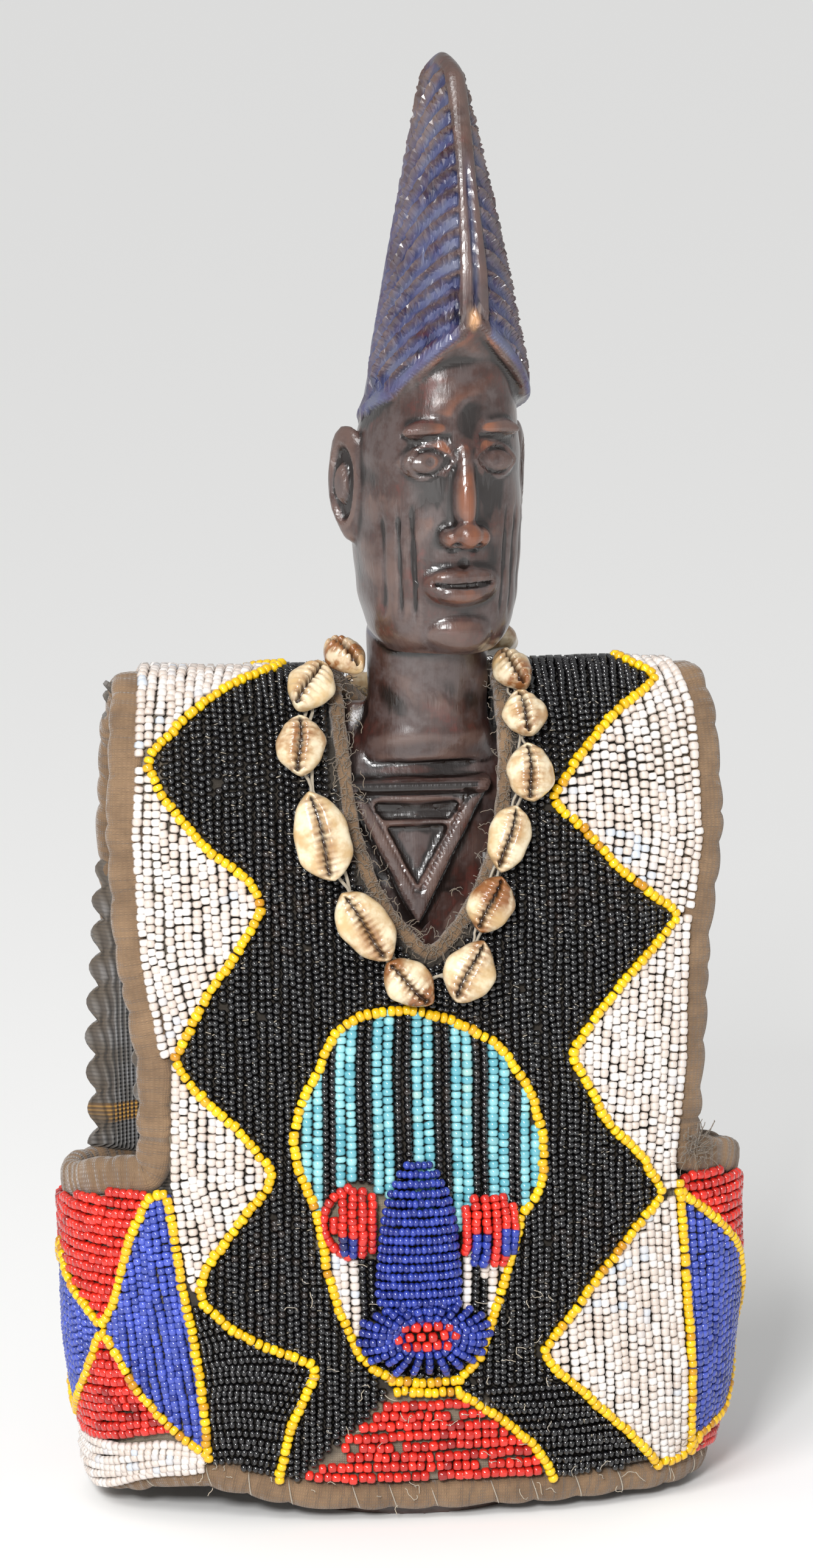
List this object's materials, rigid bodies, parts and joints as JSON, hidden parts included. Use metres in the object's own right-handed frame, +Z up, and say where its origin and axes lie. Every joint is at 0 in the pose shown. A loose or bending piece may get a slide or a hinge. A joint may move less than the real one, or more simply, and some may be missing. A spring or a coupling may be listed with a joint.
{
  "type": "carved twin figure in a beaded tunic",
  "caption": "Carved wooden standing figure with a tall ridged coiffure, wearing a boxy sleeveless tunic covered in glass beads, with cowrie shells round the neck opening.",
  "frame": {"origin": "middle of the underside of the round wooden base", "axes": "+Z up the figure, the tunic's front faces -Y, +X to the right seen from the front"},
  "size_m": [0.1548, 0.0763, 0.32],
  "materials": {
    "wood": "dark oiled patina, glossy, worn reddish on the high places, indigo in the coiffure's grooves",
    "cotton": "faded brown cotton, matte",
    "lining": "grey-blue ribbed cotton, matte",
    "bead_black": "opaque black glass, glossy",
    "bead_white": "opaque white glass, dusty",
    "bead_turquoise": "opaque turquoise glass, glossy",
    "bead_red": "opaque red glass, glossy",
    "bead_blue": "opaque cobalt blue glass, glossy",
    "bead_yellow": "opaque yellow glass, glossy",
    "shell": "cowrie shell, cream to brown, glossy"
  },
  "bodies": {
    "root": {"carved_figure": "wood", "tunic_cloth": "cotton", "gusset_cloth_left": "cotton", "gusset_cloth_right": "cotton", "neck_binding": "cotton", "arm_binding_left": "cotton", "arm_binding_right": "cotton", "hem_binding": "cotton", "tunic_lining": "lining", "beads_black_ground": "bead_black", "beads_black_lower_left": "bead_black", "beads_white_left_shoulder": "bead_white", "beads_white_left_middle": "bead_white", "beads_white_left_lower": "bead_white", "beads_white_right_shoulder": "bead_white", "beads_white_right_middle": "bead_white", "beads_white_right_lower": "bead_white", "beads_white_back_left_middle": "bead_white", "beads_white_back_left_lower": "bead_white", "beads_white_back_right_middle": "bead_white", "beads_white_back_right_lower": "bead_white", "beads_white_left_slack": "bead_white", "beads_face_ground": "bead_turquoise", "beads_red_panel": "bead_red", "bead_eye_left": "bead_red", "bead_eye_right": "bead_red", "beads_red_left_top": "bead_red", "beads_red_left_foot_front": "bead_red", "beads_red_left_foot_back": "bead_red", "beads_red_right_top": "bead_red", "beads_red_right_foot": "bead_red", "bead_nose": "bead_blue", "bead_mouth": "bead_blue", "beads_blue_left_front": "bead_blue", "beads_blue_left_side": "bead_blue", "beads_blue_left_back": "bead_blue", "beads_blue_right_front": "bead_blue", "beads_blue_right_back": "bead_blue", "strands_bead_face": "bead_yellow", "strand_left_zigzag": "bead_yellow", "strand_right_zigzag": "bead_yellow", "strands_left_gusset": "bead_yellow", "strands_right_gusset": "bead_yellow", "cowrie_01": "shell", "cowrie_02": "shell", "cowrie_03": "shell", "cowrie_04": "shell", "cowrie_05": "shell", "cowrie_06": "shell", "cowrie_07": "shell", "cowrie_08": "shell", "cowrie_09": "shell", "cowrie_10": "shell", "cowrie_11": "shell", "cowrie_12": "shell", "cowrie_13": "shell", "cowrie_14": "shell", "cowrie_15": "shell"}
  },
  "joints": []
}
